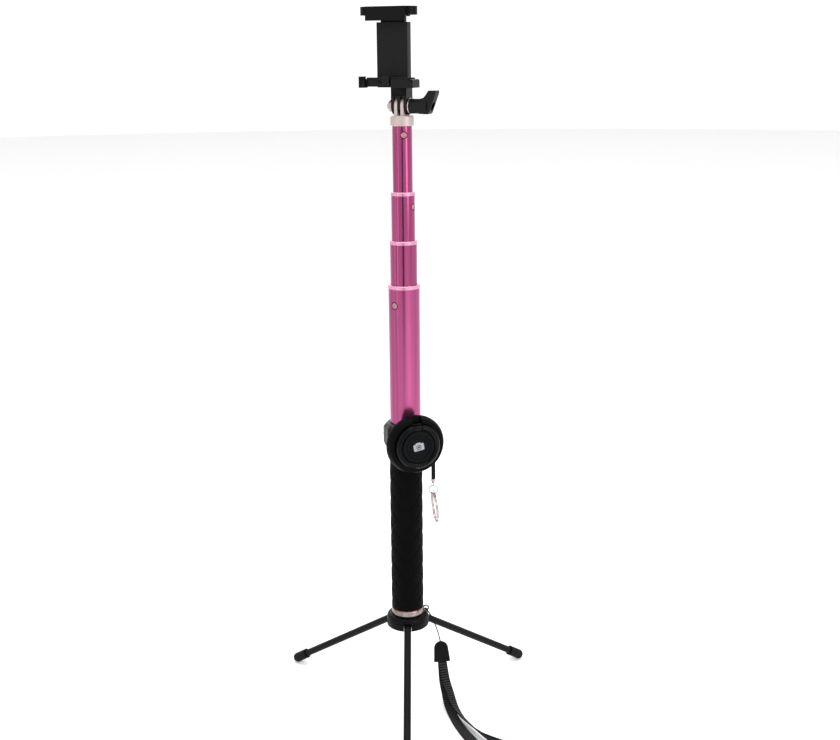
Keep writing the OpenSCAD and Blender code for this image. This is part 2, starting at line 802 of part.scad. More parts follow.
module strap_clip() {
    clip_w = 15.8;
    clip_t = 5;
    top_r = 6.8;
    long = 19.5;
    color("#232325") translate([31.2, -0.2, 56]) rotate([-26, -4.3, 0]) translate([0, clip_t / 2, 0])
        rotate([90, 0, 0]) linear_extrude(clip_t) union() {
            translate([0, -top_r]) circle(r = top_r);
            polygon([[-top_r, -top_r], [-clip_w / 2, -long], [clip_w / 2, -long], [top_r, -top_r]]);
        }
}

module strap_webbing() {
    steps = 3;
    color("#18181a") ribbon(smooth([for (p = webbing_route) p[0]], steps),
        smooth([for (p = webbing_route) p[1]], steps), webbing_w, webbing_t);
}

tripod_hub();
hub_base_cap();
hub_screw();
leg_pins();
leg_rod(leg_turns[0]);  // leg_rod_front
leg_rod(leg_turns[1]);  // leg_rod_left
leg_rod(leg_turns[2]);  // leg_rod_right
leg_foot(leg_turns[0]);  // leg_foot_front
leg_foot(leg_turns[1]);  // leg_foot_left
leg_foot(leg_turns[2]);  // leg_foot_right
handle_end_plug();
strap_ring();
outer_tube();
grip();
collar(0);  // collar_one
collar(1);  // collar_two
collar(2);  // collar_three
guide_bush(0);  // guide_bush_one
guide_bush(1);  // guide_bush_two
guide_bush(2);  // guide_bush_three
second_tube();
third_tube();
top_tube();
lock_cone(1);  // lock_cone_second
lock_cone(2);  // lock_cone_third
lock_cone(3);  // lock_cone_top
lock_bush(1);  // lock_bush_second
lock_bush(2);  // lock_bush_third
lock_bush(3);  // lock_bush_top
head_adapter();
clamp_body();
lower_jaw_pad();
upper_jaw();
upper_jaw_pad();
jaw_spring();
housing_cover();
cover_screws();
cap_nut();
thumb_screw();
thumb_knob();
thumb_washer();
clip_front();
clip_back();
clip_screws();
remote_cup();
remote_rear_shell();
remote_front_shell();
remote_button();
circuit_board();
tact_switch();
coin_cell();
battery_clip();
battery_door();
lanyard_cord();
lanyard_crimp();
link_ring();
key_ring();
strap_cord();
strap_clip();
strap_webbing();
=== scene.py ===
"""Extending selfie stick on a folding tripod base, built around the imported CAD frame.

Everything is in metres in the row frame; lengths written in millimetres are multiplied by MM.
"""

import math

import bmesh
import bpy
from mathutils import Matrix, Vector


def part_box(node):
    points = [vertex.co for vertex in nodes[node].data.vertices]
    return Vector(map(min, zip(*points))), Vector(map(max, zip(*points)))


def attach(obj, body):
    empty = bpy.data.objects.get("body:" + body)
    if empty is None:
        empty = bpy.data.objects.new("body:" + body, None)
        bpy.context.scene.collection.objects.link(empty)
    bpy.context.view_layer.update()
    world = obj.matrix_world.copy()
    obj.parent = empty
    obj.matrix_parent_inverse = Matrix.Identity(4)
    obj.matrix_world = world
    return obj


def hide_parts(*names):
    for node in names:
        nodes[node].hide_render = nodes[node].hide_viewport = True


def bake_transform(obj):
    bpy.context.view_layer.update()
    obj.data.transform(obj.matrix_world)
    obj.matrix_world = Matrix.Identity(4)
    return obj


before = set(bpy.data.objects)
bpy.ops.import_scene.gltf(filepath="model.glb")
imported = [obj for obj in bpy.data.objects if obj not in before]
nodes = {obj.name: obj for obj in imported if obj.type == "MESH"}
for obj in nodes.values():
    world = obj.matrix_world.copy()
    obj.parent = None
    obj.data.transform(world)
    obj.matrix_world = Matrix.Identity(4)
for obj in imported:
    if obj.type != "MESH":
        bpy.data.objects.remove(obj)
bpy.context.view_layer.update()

MM = 0.001
TURN = 2 * math.pi

# ---------------------------------------------------------------- camera, light and floor

CAMERA_BACK = 1.031
CAMERA_HEIGHT = 0.6031
CAMERA_PITCH = math.radians(15.0)
CAMERA_YAW = math.radians(0.757)
CAMERA_ROLL = math.radians(-0.483)
CAMERA_LENS = 50.53
SENSOR_WIDTH = 36
WORLD_STRENGTH = 1.12


def make_camera():
    forward = Vector((
        math.sin(CAMERA_YAW) * math.cos(CAMERA_PITCH),
        math.cos(CAMERA_YAW) * math.cos(CAMERA_PITCH),
        -math.sin(CAMERA_PITCH),
    ))
    level = Vector((math.cos(CAMERA_YAW), -math.sin(CAMERA_YAW), 0))
    upright = level.cross(forward)
    right = math.cos(CAMERA_ROLL) * level + math.sin(CAMERA_ROLL) * upright
    up = math.cos(CAMERA_ROLL) * upright - math.sin(CAMERA_ROLL) * level
    data = bpy.data.cameras.new("camera")
    data.lens = CAMERA_LENS
    data.sensor_width = SENSOR_WIDTH
    data.clip_start = 0.02
    data.clip_end = 60
    camera = bpy.data.objects.new("camera", data)
    turn = Matrix((right, up, -forward)).transposed().to_4x4()
    camera.matrix_world = Matrix.Translation((0, -CAMERA_BACK, CAMERA_HEIGHT)) @ turn
    bpy.context.scene.collection.objects.link(camera)
    bpy.context.scene.camera = camera


def softbox(name, place, target, width, height, power):
    """Area light of `power` watts, turned to face `target`."""
    data = bpy.data.lights.new(name, "AREA")
    data.shape = "RECTANGLE"
    data.size = width
    data.size_y = height
    data.energy = power
    light = bpy.data.objects.new(name, data)
    light.location = place
    aim = Vector(target) - Vector(place)
    light.rotation_euler = aim.to_track_quat("-Z", "Y").to_euler()
    bpy.context.scene.collection.objects.link(light)


def dark_card(name, place, width, height):
    """Black board beside the camera, seen only in reflections: the streaks down the tubes."""
    black = bpy.data.materials.new(name)
    black.use_nodes = True
    shader = black.node_tree.nodes["Principled BSDF"]
    shader.inputs["Base Color"].default_value = (0, 0, 0, 1)
    shader.inputs["Specular IOR Level"].default_value = 0
    across = Vector((place[1], -place[0], 0)).normalized() * width / 2
    up = Vector((0, 0, height / 2))
    centre = Vector(place)
    mesh = bpy.data.meshes.new(name)
    mesh.from_pydata([centre - across - up, centre + across - up, centre + across + up,
                      centre - across + up], [], [(0, 1, 2, 3)])
    mesh.materials.append(black)
    card = bpy.data.objects.new(name, mesh)
    card.visible_camera = False
    card.visible_diffuse = False
    card.visible_shadow = False
    card.visible_transmission = False
    bpy.context.scene.collection.objects.link(card)


def make_studio():
    softbox("key_right", (1.15, -0.95, 0.95), (0, 0, 0.34), 0.55, 1.5, 9)
    softbox("key_left", (-1.25, -0.75, 0.75), (0, 0, 0.32), 0.55, 1.5, 3.5)
    softbox("front_fill", (0.25, -1.9, 1.5), (0, 0, 0.35), 1.3, 0.7, 6)
    softbox("overhead", (0, 0.1, 2.1), (0, 0, 0.3), 1.6, 1.6, 12)
    softbox("rim_back", (-0.3, 1.7, 1.2), (0, 0, 0.35), 1.4, 1.0, 8)
    dark_card("dark_card_centre", (-0.04, -1.35, 0.75), 0.36, 1.7)
    dark_card("dark_card_left", (-1.05, -0.55, 0.75), 0.16, 1.7)
    world = bpy.data.worlds.new("studio")
    world.use_nodes = True
    background = world.node_tree.nodes["Background"]
    background.inputs["Color"].default_value = (1, 1, 1, 1)
    background.inputs["Strength"].default_value = WORLD_STRENGTH
    bpy.context.scene.world = world
    bpy.context.scene.view_settings.view_transform = "Standard"


make_camera()
make_studio()

# ---------------------------------------------------------------- mesh helpers


def add_mesh(name, points, faces, smooth=True):
    mesh = bpy.data.meshes.new(name)
    mesh.from_pydata([tuple(p) for p in points], [], faces)
    mesh.validate()
    bm = bmesh.new()
    bm.from_mesh(mesh)
    bmesh.ops.recalc_face_normals(bm, faces=bm.faces)
    bm.to_mesh(mesh)
    bm.free()
    if smooth:
        mesh.shade_smooth()
    piece = bpy.data.objects.new(name, mesh)
    bpy.context.scene.collection.objects.link(piece)
    return piece


def soften(piece, width, segments=2, angle=30):
    """Rounds the sharp edges and keeps flat faces flat to look at."""
    edge = piece.modifiers.new("edges", "BEVEL")
    edge.width = width
    edge.segments = segments
    edge.limit_method = "ANGLE"
    edge.angle_limit = math.radians(angle)
    edge.harden_normals = True
    edge.use_clamp_overlap = True
    flat = piece.modifiers.new("normals", "WEIGHTED_NORMAL")
    flat.keep_sharp = True


def dress(piece, body, material, replaced=()):
    piece.data.materials.clear()
    piece.data.materials.append(material)
    if replaced:
        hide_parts(*replaced)
    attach(piece, body)
    return piece


def grid_faces(rows, columns, closed_rows=False, closed_columns=True):
    faces = []
    for i in range(rows if closed_rows else rows - 1):
        for k in range(columns if closed_columns else columns - 1):
            i2, k2 = (i + 1) % rows, (k + 1) % columns
            faces.append((i * columns + k, i * columns + k2, i2 * columns + k2, i2 * columns + k))
    return faces


def lathe(name, profile, place=None, segments=96, closed=False, change=None):
    """Turns (radius, height) points, in mm, about Z; `place` takes it to the row frame.

    `closed` joins the last ring to the first; otherwise the ends are capped.
    `change` may move a point given as (radius, angle, height).
    """
    place = place or Matrix.Identity(4)
    points = []
    for r, z in profile:
        for k in range(segments):
            a = k * TURN / segments
            radius, angle, height = change(r, a, z) if change else (r, a, z)
            points.append(place @ Vector((
                radius * math.cos(angle) * MM, radius * math.sin(angle) * MM, height * MM)))
    faces = grid_faces(len(profile), segments, closed_rows=closed)
    if not closed:
        faces.append(tuple(reversed(range(segments))))
        last = (len(profile) - 1) * segments
        faces.append(tuple(range(last, last + segments)))
    return add_mesh(name, points, faces)


def arc(cx, cy, r, start, end, steps):
    """Points of an arc, angles in degrees."""
    return [(cx + r * math.cos(math.radians(start + (end - start) * i / steps)),
             cy + r * math.sin(math.radians(start + (end - start) * i / steps)))
            for i in range(steps + 1)]


def frames_along(line, across):
    """(point, width direction, thickness direction) along a line, given width directions."""
    out = []
    last = len(line) - 1
    for i, p in enumerate(line):
        heading = (line[min(i + 1, last)] - line[max(i - 1, 0)]).normalized()
        wide = across[i] - across[i].dot(heading) * heading
        wide.normalize()
        out.append((p, wide, heading.cross(wide)))
    return out


def sweep(name, line, across, section):
    """Skins a tube; section(i, distance) gives the (width, thickness) outline in metres there."""
    points, distance, count = [], 0.0, 0
    for i, (p, wide, thick) in enumerate(frames_along(line, across)):
        distance += (line[i] - line[i - 1]).length if i else 0
        outline = section(i, distance)
        count = len(outline)
        points += [p + wide * a + thick * b for a, b in outline]
    faces = grid_faces(len(line), count)
    faces.append(tuple(reversed(range(count))))
    last = (len(line) - 1) * count
    faces.append(tuple(range(last, last + count)))
    return add_mesh(name, points, faces)


def catmull(route, steps):
    """The smoothed route: the same curve as the CAD's, `steps` points to a span."""
    n = len(route)
    out = []
    for i in range(n - 1):
        a, b = route[max(i - 1, 0)], route[i]
        c, d = route[i + 1], route[min(i + 2, n - 1)]
        for s in range(steps):
            t = s / steps
            out.append(0.5 * (2 * b + (c - a) * t + (2 * a - 5 * b + 4 * c - d) * t * t
                              + (3 * b - a - 3 * c + d) * t ** 3))
    out.append(route[-1])
    return out


def even(line, extra, step):
    """Points `step` apart along a line, with the matching values of a second list."""
    along = [0.0]
    for a, b in zip(line, line[1:]):
        along.append(along[-1] + (b - a).length)
    count = max(2, round(along[-1] / step) + 1)
    out, out_extra, j = [], [], 0
    for i in range(count):
        s = along[-1] * i / (count - 1)
        while j < len(line) - 2 and along[j + 1] < s:
            j += 1
        t = (s - along[j]) / (along[j + 1] - along[j])
        out.append(line[j].lerp(line[j + 1], t))
        out_extra.append(extra[j].lerp(extra[j + 1], t))
    return out, out_extra


def mm_points(rows):
    return [Vector(r) * MM for r in rows]


def refined(node, body, finish, width=0.3, segments=2, angle=30):
    """A copy of a CAD node's shape, cleaned and given rounded edges, that stands for it."""
    mesh = nodes[node].data.copy()
    bm = bmesh.new()
    bm.from_mesh(mesh)
    bmesh.ops.remove_doubles(bm, verts=bm.verts, dist=0.003 * MM)
    bmesh.ops.dissolve_limit(
        bm, angle_limit=math.radians(0.5), verts=bm.verts, edges=bm.edges, delimit=set())
    bmesh.ops.recalc_face_normals(bm, faces=bm.faces)
    clean = bpy.data.meshes.new(node + "_finished")
    bm.to_mesh(clean)
    bm.free()
    bpy.data.meshes.remove(mesh)
    clean.shade_smooth()
    piece = bpy.data.objects.new(node + "_finished", clean)
    bpy.context.scene.collection.objects.link(piece)
    soften(piece, width * MM, segments, angle)
    return dress(piece, body, finish, [node])


# ---------------------------------------------------------------- materials


def material(name, colour, rough, metal=0.0, tint=0.12, patch=40, rough_spread=0.08, grain=900,
             bump=0.12, bump_depth=0.00005, stretch=(1, 1, 1), wear=0.0,
             wear_colour=(0.2, 0.2, 0.2), coat=0.0, coat_rough=0.1, specular=0.5,
             shape="noise"):
    """Procedural finish: patchy tint and roughness, fine grain relief, lighter worn edges."""
    mat = bpy.data.materials.new(name)
    mat.use_nodes = True
    tree = mat.node_tree
    link = tree.links.new
    shader = tree.nodes["Principled BSDF"]
    shader.inputs["Metallic"].default_value = metal
    shader.inputs["Specular IOR Level"].default_value = specular
    shader.inputs["Coat Weight"].default_value = coat
    shader.inputs["Coat Roughness"].default_value = coat_rough
    place = tree.nodes.new("ShaderNodeTexCoord")
    scale = tree.nodes.new("ShaderNodeMapping")
    scale.inputs["Scale"].default_value = stretch
    link(place.outputs["Object"], scale.inputs["Vector"])

    clouds = tree.nodes.new("ShaderNodeTexNoise")
    clouds.inputs["Scale"].default_value = patch
    clouds.inputs["Detail"].default_value = 5
    link(scale.outputs["Vector"], clouds.inputs["Vector"])
    shades = tree.nodes.new("ShaderNodeValToRGB")
    dark = [c * (1 - tint) for c in colour]
    light = [min(1, c * (1 + tint)) for c in colour]
    shades.color_ramp.elements[0].position = 0.3
    shades.color_ramp.elements[0].color = (*dark, 1)
    shades.color_ramp.elements[1].position = 0.72
    shades.color_ramp.elements[1].color = (*light, 1)
    link(clouds.outputs["Fac"], shades.inputs["Fac"])
    skin = shades.outputs["Color"]
    if wear:
        geometry = tree.nodes.new("ShaderNodeNewGeometry")
        edge = tree.nodes.new("ShaderNodeMapRange")
        edge.inputs["From Min"].default_value = 0.53
        edge.inputs["From Max"].default_value = 0.62
        edge.inputs["To Max"].default_value = wear
        link(geometry.outputs["Pointiness"], edge.inputs["Value"])
        mix = tree.nodes.new("ShaderNodeMix")
        mix.data_type = "RGBA"
        link(edge.outputs["Result"], mix.inputs["Factor"])
        link(skin, mix.inputs["A"])
        mix.inputs["B"].default_value = (*wear_colour, 1)
        skin = mix.outputs["Result"]
    link(skin, shader.inputs["Base Color"])

    fine = tree.nodes.new("ShaderNodeTexVoronoi" if shape == "cells" else "ShaderNodeTexNoise")
    fine.inputs["Scale"].default_value = grain
    link(scale.outputs["Vector"], fine.inputs["Vector"])
    relief = fine.outputs["Distance" if shape == "cells" else "Fac"]
    gloss = tree.nodes.new("ShaderNodeMapRange")
    gloss.inputs["To Min"].default_value = max(0.02, rough - rough_spread)
    gloss.inputs["To Max"].default_value = min(1, rough + rough_spread)
    link(clouds.outputs["Fac"], gloss.inputs["Value"])
    link(gloss.outputs["Result"], shader.inputs["Roughness"])
    raised = tree.nodes.new("ShaderNodeBump")
    raised.inputs["Strength"].default_value = bump
    raised.inputs["Distance"].default_value = bump_depth
    link(relief, raised.inputs["Height"])
    link(raised.outputs["Normal"], shader.inputs["Normal"])
    return mat


ALONG_POLE = (1, 1, 0.012)
pink_tube = material("pink_anodised", (0.355, 0.071, 0.186), 0.27, metal=0.95, tint=0.3, patch=210,
                     rough_spread=0.06, grain=2600, bump=0.3, bump_depth=0.00002,
                     stretch=ALONG_POLE, coat=0.06, coat_rough=0.2)
pink_bright = material("pink_anodised_bright", (0.33, 0.06, 0.165), 0.16, metal=0.95, tint=0.3,
                       patch=210, rough_spread=0.05, grain=2600, bump=0.2, bump_depth=0.00002,
                       stretch=ALONG_POLE, coat=0.04, coat_rough=0.1)
collar_metal = material("pale_pink_polished", (0.67, 0.30, 0.45), 0.24, metal=0.7, tint=0.05,
                        patch=300, rough_spread=0.05, grain=3000, bump=0.1, stretch=(1, 1, 8))
pale_metal = material("pale_satin", (0.42, 0.345, 0.335), 0.34, metal=0.25, tint=0.06, patch=120,
                      rough_spread=0.08, grain=1800, bump=0.1, wear=0.5,
                      wear_colour=(0.54, 0.47, 0.46))
nickel = material("nickel_band", (0.26, 0.215, 0.195), 0.26, metal=1.0, tint=0.5, patch=160,
                  rough_spread=0.12, grain=1500, bump=0.25, wear=0.4, wear_colour=(0.6, 0.55, 0.52))
steel = material("plated_steel", (0.42, 0.41, 0.42), 0.3, metal=1.0, tint=0.12, patch=200,
                 rough_spread=0.1, grain=2200, bump=0.12)
bright_steel = material("bright_ring", (0.50, 0.43, 0.44), 0.2, metal=1.0, tint=0.3, patch=260,
                        rough_spread=0.1, grain=1600, bump=0.16)
leg_metal = material("leg_satin_black", (0.0028, 0.0025, 0.0027), 0.3, tint=0.25, patch=90,
                     rough_spread=0.08, grain=1600, bump=0.25, specular=0.11)
black_plastic = material("moulded_black", (0.0016, 0.0016, 0.0018), 0.36, tint=0.25, patch=110,
                         rough_spread=0.1, grain=2600, bump=0.4, bump_depth=0.00003, wear=0.4,
                         wear_colour=(0.02, 0.02, 0.021), shape="cells", specular=0.075)
grey_plastic = material("moulded_grey", (0.03, 0.028, 0.03), 0.5, tint=0.2, patch=90,
                        rough_spread=0.1, grain=2200, bump=0.4, bump_depth=0.00004, wear=0.5,
                        wear_colour=(0.08, 0.075, 0.08), shape="cells", specular=0.25)
gloss_black = material("gloss_black", (0.0008, 0.0012, 0.0014), 0.13, tint=0.2, patch=70,
                       rough_spread=0.05, grain=700, bump=0.04, specular=0.1)
cup_black = material("cup_black", (0.001, 0.001, 0.0012), 0.45, tint=0.25, patch=90,
                     rough_spread=0.08, grain=2200, bump=0.2, shape="cells", specular=0.05)
button_black = material("satin_button", (0.0016, 0.0024, 0.0028), 0.33, tint=0.2, patch=90,
                        rough_spread=0.06, grain=2400, bump=0.2, bump_depth=0.00002,
                        specular=0.06)
grip_rubber = material("grip_rubber", (0.0012, 0.0012, 0.0012), 0.62, tint=0.35, patch=150,
                       rough_spread=0.12, grain=1500, bump=0.7, bump_depth=0.00012,
                       shape="cells", specular=0.04)
foot_rubber = material("foot_rubber", (0.003, 0.003, 0.003), 0.42, tint=0.25, patch=120,
                       rough_spread=0.1, grain=1700, bump=0.4, bump_depth=0.00005, wear=0.4,
                       wear_colour=(0.012, 0.012, 0.012), specular=0.1)
boss_plastic = material("boss_pink_grey", (0.36, 0.13, 0.17), 0.4, tint=0.12, patch=200,
                        rough_spread=0.08, grain=2000, bump=0.2)
white_plastic = material("natural_white", (0.68, 0.66, 0.6), 0.45, tint=0.06, patch=90,
                         rough_spread=0.08, grain=1500, bump=0.15)
icon_paint = material("icon_pale_grey", (0.29, 0.29, 0.32), 0.5, tint=0.06, patch=300,
                      rough_spread=0.05, grain=3000, bump=0.1, specular=0.2)
board_green = material("board_green", (0.03, 0.2, 0.09), 0.45, tint=0.2, patch=200, grain=1200)
spring_brass = material("spring_brass", (0.55, 0.42, 0.2), 0.3, metal=1.0, tint=0.15, patch=200)
cord_black = material("cord_black", (0.0045, 0.0045, 0.005), 0.75, tint=0.35, patch=700,
                      rough_spread=0.12, grain=4200, bump=0.7, bump_depth=0.00008, specular=0.12)
webbing_black = material("webbing_black", (0.017, 0.016, 0.017), 0.55, tint=0.35, patch=500,
                         rough_spread=0.12, grain=3600, bump=0.8, bump_depth=0.0001,
                         specular=0.22)
# painted shade: a darker finish for the grooves between the webbing's ribs and along its selvedges
webbing_groove_shade = material("webbing_groove_shade", (0.0009, 0.0009, 0.0009), 0.7, tint=0.25,
                          patch=260, grain=2400, bump=0.3, specular=0.05)
# painted shade: a dark ring standing for the shadow in the gap round each window
window_dark = material("window_shadow", (0.02, 0.003, 0.01), 0.5, tint=0.2, patch=300, grain=1500,
                       bump=0.2, specular=0.2)
jaw_rubber = material("jaw_rubber", (0.012, 0.012, 0.013), 0.65, tint=0.2, patch=200, grain=1500,
                      bump=0.4, specular=0.2)
floor_paint = material("floor", (0.965, 0.965, 0.965), 0.75, tint=0.008, patch=3, rough_spread=0.03,
                       grain=60, bump=0.02, specular=0.15)

FLOOR_R = 9000
FLOOR_TOP = -0.02       # mm, just under the feet
floor = lathe("floor", [(FLOOR_R, -0.4), (FLOOR_R, FLOOR_TOP)], segments=64)
floor.data.materials.append(floor_paint)

# ---------------------------------------------------------------- cords first

STRAP_CORD_ROUTE = mm_points([
    (16.8, 1.9, 89.6), (17.2, 1.1, 90.5), (17.7, -0.4, 90.9), (18.4, -1.9, 90.2),
    (19.9, -2.4, 88.1), (21.7, -1.4, 84.5), (23.4, -0.2, 80.5), (25.2, 0.4, 75.5),
    (27.2, 0.6, 70), (29.2, 0.4, 63.5), (31, -0.2, 55.5),
])
# point, then the direction of the webbing's width
WEBBING_ROUTE = [
    ((32.4, -7.7, 39.6), (1, 0, 0)), ((33.6, -12, 20.9), (1, 0, 0.05)),
    ((35.4, -16.4, 11.6), (1, 0.1, 0.05)), ((38, -28.8, 3.4), (0.98, 0.15, 0.1)),
    ((43.3, -51.1, 1.6), (0.93, 0.25, 0.2)), ((48.2, -67.4, 2), (0.9, 0.3, 0.3)),
    ((53.5, -81.9, 2.8), (0.8, 0.3, 0.5)), ((60, -97, 4), (0.5, 0.25, 0.8)),
    ((68, -112, 4.7), (0.15, 0.1, 1)), ((78, -125, 4.8), (0, 0, 1)), ((90, -131, 4.8), (0, 0, 1)),
    ((100, -126, 4.8), (0, 0, 1)), ((101.5, -115, 4.8), (0, 0, 1)), ((94, -105.5, 4.8), (0, 0, 1)),
    ((85, -98.5, 4.8), (0, 0, 1)), ((75, -90.6, 4.9), (-0.2, -0.15, 1)),
    ((66.4, -81.6, 5), (-0.4, -0.3, 0.85)), ((56.6, -66, 5.1), (-0.57, -0.46, 0.68)),
    ((49, -52, 5.8), (-0.65, -0.45, 0.6)), ((43, -38, 8.4), (-0.85, -0.3, 0.4)),
    ((39, -24.6, 14.8), (-0.95, -0.15, 0.2)), ((35.4, -14.8, 22.8), (-1, 0, 0.05)),
    ((32.6, -9.5, 39.4), (-1, 0, 0)),
]
STRAP_CORD_D = 1.2 * MM
WEBBING_W = 8.5 * MM
WEBBING_T = 1.2 * MM
WEBBING_RIB = 2.4 * MM
GROOVE_BELOW = 0.62     # share of a rib's height under which the tape takes the darker finish, painted shade in its groove
LANYARD_AT = Vector((24.9, -12.8, 0)) * MM
LANYARD_TOP = 261.5 * MM
LANYARD_BOTTOM = 227.2 * MM
LANYARD_D = 3.8 * MM


def strap_cord_piece():
    """Two plies twisted together."""
    route = catmull(STRAP_CORD_ROUTE, 12)
    line, across = even(route, [Vector((0, 1, 0.2))] * len(route), 0.16 * MM)
    corners, lay = 14, 2.2 * MM

    def section(i, distance):
        twist = distance / lay * TURN
        out = []
        for k in range(corners):
            a = k * TURN / corners
            r = STRAP_CORD_D / 2 * (0.74 + 0.26 * abs(math.cos(a - twist)))
            out.append((r * math.cos(a), r * math.sin(a)))
        return out

    piece = sweep("strap_cord_twist", line, across, section)
    dress(piece, "handle", cord_black, ["strap_cord"])
    return piece, line


def webbing_piece():
    """Ribbed woven tape with rounded selvedges."""
    route = catmull(mm_points([p for p, _ in WEBBING_ROUTE]), 14)
    widths = catmull([Vector(w) for _, w in WEBBING_ROUTE], 14)
    line, across = even(route, widths, 0.3 * MM)
    half_w, half_t = WEBBING_W / 2, WEBBING_T / 2
    across_steps = 12
    in_groove = []

    def section(i, distance):
        wave = abs(math.sin(math.pi * distance / WEBBING_RIB))
        in_groove.append(wave < GROOVE_BELOW)
        thick = half_t * (0.52 + 0.48 * wave)
        wide = half_w * (0.965 + 0.035 * wave)
        top = []
        for k in range(across_steps + 1):
            u = -1 + 2 * k / across_steps
            selvedge = 1 - 0.35 * max(0, (abs(u) - 0.8) / 0.2) ** 2
            top.append((u * wide, thick * selvedge))
        return top + [(a, -b) for a, b in reversed(top)]

    piece = sweep("strap_webbing_ribbed", line, across, section)
    dress(piece, "handle", webbing_black, ["strap_webbing"])
    # the grooves and the selvedges take the painted shade finish
    piece.data.materials.append(webbing_groove_shade)
    half_outline = across_steps + 1
    outline = 2 * half_outline
    edges = (0, across_steps)
    for face in piece.data.polygons:
        row = min(face.vertices) // outline
        selvedge = any(v % outline % half_outline in edges for v in face.vertices)
        face.material_index = 1 if in_groove[row] or selvedge else 0
    return piece, line


def lanyard_piece():
    """Round braid: two sets of strands crossing each other."""
    count = 170
    line = [LANYARD_AT + Vector((0, 0, LANYARD_TOP + (LANYARD_BOTTOM - LANYARD_TOP) * i / count))
            for i in range(count + 1)]
    corners, strands, lay = 36, 4, 9 * MM

    def section(i, distance):
        out = []
        for k in range(corners):
            a = k * TURN / corners
            one = math.sin(strands * a + distance / lay * TURN * 2)
            two = math.sin(strands * a - distance / lay * TURN * 2)
            r = LANYARD_D / 2 * (0.86 + 0.14 * max(one, two))
            out.append((r * math.cos(a), r * math.sin(a)))
        return out

    piece = sweep("lanyard_braid", line, [Vector((1, 0, 0))] * len(line), section)
    dress(piece, "remote_clip", cord_black, ["lanyard_cord"])
    return piece, line


strap_cord, strap_cord_line = strap_cord_piece()
webbing, webbing_line = webbing_piece()
lanyard, lanyard_line = lanyard_piece()
strap_clip = refined("strap_clip", "handle", foot_rubber, 1.3, 4, 25)

# ---------------------------------------------------------------- tripod base

refined("tripod_hub", "handle", black_plastic, 0.35, 2, 32)
refined("hub_base_cap", "handle", black_plastic, 0.3)
refined("strap_ring", "handle", nickel, 0.18)
refined("leg_pins", "handle", steel, 0.2)
refined("hub_screw", "handle", steel, 0.3)

LEGS = {"front": -91, "left": 149.5, "right": 30.5}
LEG_HINGE_R = 15
LEG_HINGE_Z = 80
FOOT_REACH = 131.5
FOOT_R = 4.75
FOOT_CAP_LEN = 14.2
LEG_R = 3.4
leg_run = FOOT_REACH - LEG_HINGE_R
leg_drop = LEG_HINGE_Z - FOOT_R
LEG_LEN = math.hypot(leg_run, leg_drop)
LEG_SLOPE = math.atan2(leg_drop, leg_run)


def along_leg(turn):
    """Takes +Z to the direction of a leg, from its hinge point."""
    return (Matrix.Rotation(math.radians(turn), 4, "Z")
            @ Matrix.Translation(Vector((LEG_HINGE_R, 0, LEG_HINGE_Z)) * MM)
            @ Matrix.Rotation(math.pi / 2 + LEG_SLOPE, 4, "Y"))


def foot(side, turn):
    """Rubber cap with a rolled lip, a waist ring and a round end."""
    start = LEG_LEN - FOOT_CAP_LEN
    profile = [(LEG_R + 0.02, LEG_LEN - 1.2), (LEG_R + 0.02, start + 0.3), (LEG_R + 0.35, start)]
    profile += arc(4.35, start + 0.6, 0.5, -90, 60, 6)
    profile += [(4.45, start + 1.35), (4.45, start + 1.7), (4.6, start + 2.1), (4.72, start + 2.4)]
    profile += [(FOOT_R, start + 3.2), (FOOT_R, LEG_LEN - 1.5)]
    profile += arc(0, LEG_LEN, FOOT_R, 0, 86, 14)
    piece = lathe("foot_" + side + "_cap", profile, along_leg(turn), 56)
    dress(piece, "leg_" + side, foot_rubber, ["leg_foot_" + side])


for side, turn in LEGS.items():
    refined("leg_rod_" + side, "leg_" + side, leg_metal, 0.15)
    foot(side, turn)

# ---------------------------------------------------------------- pole

GRIP_BOTTOM = 94.5
GRIP_TOP = 254.5
GRIP_R = 15


def grip_piece():
    """Moulded sleeve with a shallow crossed pattern of grooves that leaves crowned diamonds."""
    starts, rise, groove_w, groove_depth = 6, 34.0, 0.075, 0.55
    rows, segments = 330, 168

    def relief(angle, z):
        one = starts * angle / TURN + z / rise * 2
        two = starts * angle / TURN - z / rise * 2
        depth = 0
        for phase in (one, two):
            off = abs(phase - round(phase))
            depth = max(depth, math.exp(-(off / groove_w) ** 2))
        crown = 0.12 * abs(math.sin(math.pi * one) * math.sin(math.pi * two))
        return crown - groove_depth * depth

    profile = [(14.02, GRIP_TOP - 0.2), (14.02, GRIP_BOTTOM + 0.2), (14.3, GRIP_BOTTOM)]
    profile += arc(14.3, GRIP_BOTTOM + 0.6, 0.6, -75, -15, 4)
    first, last = GRIP_BOTTOM + 0.8, GRIP_TOP - 0.8
    profile += [(GRIP_R, first + (last - first) * i / rows) for i in range(rows + 1)]
    profile += arc(14.3, GRIP_TOP - 0.6, 0.6, 15, 75, 4)
    profile += [(14.3, GRIP_TOP)]

    def change(r, a, z):
        if r < GRIP_R:
            return r, a, z
        fade = min(1, (z - first) / 3, (last - z) / 3)
        return r + max(0, fade) * relief(a, z), a, z

    piece = lathe("grip_sleeve", profile, None, segments, closed=True, change=change)
    dress(piece, "handle", grip_rubber, ["grip"])


grip_piece()

TUBE_BODIES = {"outer_tube": "handle", "second_tube": "second_section",
               "third_tube": "third_section", "top_tube": "top_section"}
for tube, body in TUBE_BODIES.items():
    finish = pink_tube if tube == "outer_tube" else pink_bright
    refined(tube, body, finish, 0.15, 2, 40)
for collar, body in (("collar_one", "handle"), ("collar_two", "second_section"),
                     ("collar_three", "third_section")):
    refined(collar, body, collar_metal, 0.2, 3, 30)
for bush, body in (("guide_bush_one", "handle"), ("guide_bush_two", "second_section"),
                   ("guide_bush_three", "third_section")):
    refined(bush, body, boss_plastic, 0.25, 2, 40)

